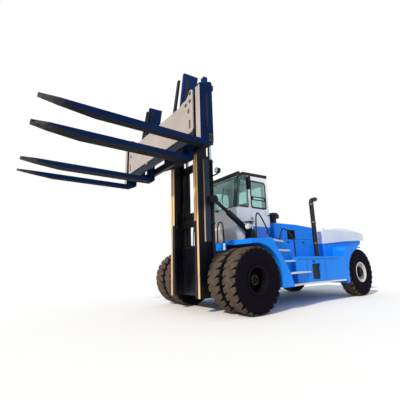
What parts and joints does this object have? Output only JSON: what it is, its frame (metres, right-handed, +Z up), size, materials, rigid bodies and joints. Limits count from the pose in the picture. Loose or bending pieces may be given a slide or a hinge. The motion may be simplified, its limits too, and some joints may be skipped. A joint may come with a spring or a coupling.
{
  "type": "heavy diesel forklift",
  "caption": "Heavy diesel counterbalance forklift with twin drive tyres, raised mast, wide carriage with long forks behind a cream apron, glazed cab and white-capped counterweight",
  "frame": {"origin": "centre of the bounding box in plan, on the ground", "axes": "+X towards the fork tips, +Y to the truck's left, +Z up"},
  "size_m": [12.02, 4.53, 6.59],
  "materials": {
    "tyre_rubber": "matte",
    "rim_dark": "satin",
    "rim_grey": "satin",
    "body_blue": "gloss",
    "cab_white": "gloss",
    "cap_white": "satin",
    "frame_black": "satin",
    "mast_navy": "satin",
    "post_blue": "satin",
    "apron_cream": "satin",
    "fork_steel": "matte",
    "axle_iron": "matte",
    "step_alloy": "satin",
    "glass_green": "gloss",
    "chrome_rod": "polished",
    "seat_fabric": "matte",
    "dash_plastic": "matte",
    "trim_black": "satin",
    "chain_steel": "satin",
    "lamp_cream": "gloss"
  },
  "bodies": {
    "chassis": {"main_frame": "frame_black", "drive_axle": "axle_iron", "steer_axle": "axle_iron", "fender_left": "body_blue", "fender_right": "body_blue", "sponson_left": "body_blue", "sponson_right": "body_blue", "step_treads": "step_alloy", "counterweight": "body_blue", "counterweight_cap": "cap_white", "engine_hood": "body_blue", "engine_block": "axle_iron", "exhaust_stack": "trim_black", "air_intake": "trim_black", "cab_shell": "cab_white", "cab_glass": "glass_green", "door_hinges": "trim_black", "operator_seat": "seat_fabric", "dash_console": "dash_plastic", "roof_guard": "trim_black", "tilt_brackets": "frame_black", "hood_grille": "trim_black", "handrails": "trim_black", "work_lamps": "lamp_cream", "cab_mirrors": "trim_black", "tow_clevis": "frame_black"},
    "drive_wheel_left": {"drive_tyres_left": "tyre_rubber", "drive_rims_left": "rim_dark"},
    "drive_wheel_right": {"drive_tyres_right": "tyre_rubber", "drive_rims_right": "rim_dark"},
    "steer_knuckle_left": {"knuckle_left": "axle_iron"},
    "steer_knuckle_right": {"knuckle_right": "axle_iron"},
    "steer_wheel_left": {"steer_tyre_left": "tyre_rubber", "steer_rim_left": "rim_grey"},
    "steer_wheel_right": {"steer_tyre_right": "tyre_rubber", "steer_rim_right": "rim_grey"},
    "door": {"cab_door": "cab_white", "door_glass": "glass_green"},
    "lid": {"hood_lid": "body_blue"},
    "mast": {"outer_mast": "mast_navy", "lift_barrels": "frame_black", "mast_fittings": "trim_black"},
    "mast_inner": {"inner_mast": "mast_navy", "lift_rods": "chrome_rod", "chain_sheaves": "chain_steel", "sheave_bracket": "mast_navy"},
    "carriage": {"carriage_frame": "mast_navy", "carriage_chains": "chain_steel", "chain_anchor": "mast_navy", "apron_plate": "apron_cream", "backrest_posts": "post_blue", "guard_bars": "trim_black", "fork_outer_left": "fork_steel", "fork_inner_left": "fork_steel", "fork_inner_right": "fork_steel", "fork_outer_right": "fork_steel"},
    "tilt_barrel_l": {"tilt_barrel_left": "frame_black"},
    "tilt_barrel_r": {"tilt_barrel_right": "frame_black"},
    "tilt_rod_l": {"tilt_rod_left": "chrome_rod"},
    "tilt_rod_r": {"tilt_rod_right": "chrome_rod"}
  },
  "joints": [
    {"name": "spin_drive_left", "type": "hinge", "parent": "chassis", "child": "drive_wheel_left", "pos_m": [0.92, 1.428, 0.835], "axis": [0, 1, 0], "continuous": true},
    {"name": "spin_drive_right", "type": "hinge", "parent": "chassis", "child": "drive_wheel_right", "pos_m": [0.92, -1.428, 0.835], "axis": [0, 1, 0], "continuous": true},
    {"name": "steer_left", "type": "hinge", "parent": "chassis", "child": "steer_knuckle_left", "pos_m": [-4.82, 1.09, 0.835], "axis": [0, 0, 1], "range_deg": [-60, 60]},
    {"name": "steer_right", "type": "hinge", "parent": "chassis", "child": "steer_knuckle_right", "pos_m": [-4.82, -1.09, 0.835], "axis": [0, 0, 1], "range_deg": [-60, 60]},
    {"name": "spin_steer_left", "type": "hinge", "parent": "steer_knuckle_left", "child": "steer_wheel_left", "pos_m": [-4.82, 1.425, 0.835], "axis": [0, 1, 0], "continuous": true},
    {"name": "spin_steer_right", "type": "hinge", "parent": "steer_knuckle_right", "child": "steer_wheel_right", "pos_m": [-4.82, -1.425, 0.835], "axis": [0, 1, 0], "continuous": true},
    {"name": "mast_tilt", "type": "hinge", "parent": "chassis", "child": "mast", "pos_m": [1.25, 0, 0.62], "axis": [0, 1, 0], "range_deg": [-10, 5]},
    {"name": "inner_lift", "type": "slide", "parent": "mast", "child": "mast_inner", "axis": [0, 0, 1], "range_m": [-1.91, 0.25]},
    {"name": "carriage_lift", "type": "slide", "parent": "mast_inner", "child": "carriage", "axis": [0, 0, 1], "range_m": [-1.91, 0.25]},
    {"name": "tilt_barrel_left_pin", "type": "hinge", "parent": "chassis", "child": "tilt_barrel_l", "pos_m": [0.16, 0.99, 2.14], "axis": [0, 1, 0], "range_deg": [-10, 5]},
    {"name": "tilt_barrel_right_pin", "type": "hinge", "parent": "chassis", "child": "tilt_barrel_r", "pos_m": [0.16, -0.99, 2.14], "axis": [0, 1, 0], "range_deg": [-10, 5]},
    {"name": "tilt_rod_left_slide", "type": "slide", "parent": "tilt_barrel_l", "child": "tilt_rod_l", "axis": [0.8379, 0, 0.5459], "range_m": [-0.32463, 0.16232]},
    {"name": "tilt_rod_right_slide", "type": "slide", "parent": "tilt_barrel_r", "child": "tilt_rod_r", "axis": [0.8379, 0, 0.5459], "range_m": [-0.32463, 0.16232]},
    {"name": "cab_door_hinge", "type": "hinge", "parent": "chassis", "child": "door", "pos_m": [-0.8175, 0.906, 2.9], "axis": [0, 0, 1], "range_deg": [0, 80]},
    {"name": "hood_lid_hinge", "type": "hinge", "parent": "chassis", "child": "lid", "pos_m": [-3.132, 0, 2.41605], "axis": [0, -1, 0], "range_deg": [0, 60]}
  ],
  "couplings": [
    {"joint": "steer_right", "follows": "steer_left", "ratio": 1},
    {"joint": "carriage_lift", "follows": "inner_lift", "ratio": 1},
    {"joint": "tilt_barrel_left_pin", "follows": "mast_tilt", "ratio": 1},
    {"joint": "tilt_barrel_right_pin", "follows": "mast_tilt", "ratio": 1},
    {"joint": "tilt_rod_left_slide", "follows": "mast_tilt", "m_per_rad": 1.86},
    {"joint": "tilt_rod_right_slide", "follows": "mast_tilt", "m_per_rad": 1.86}
  ]
}
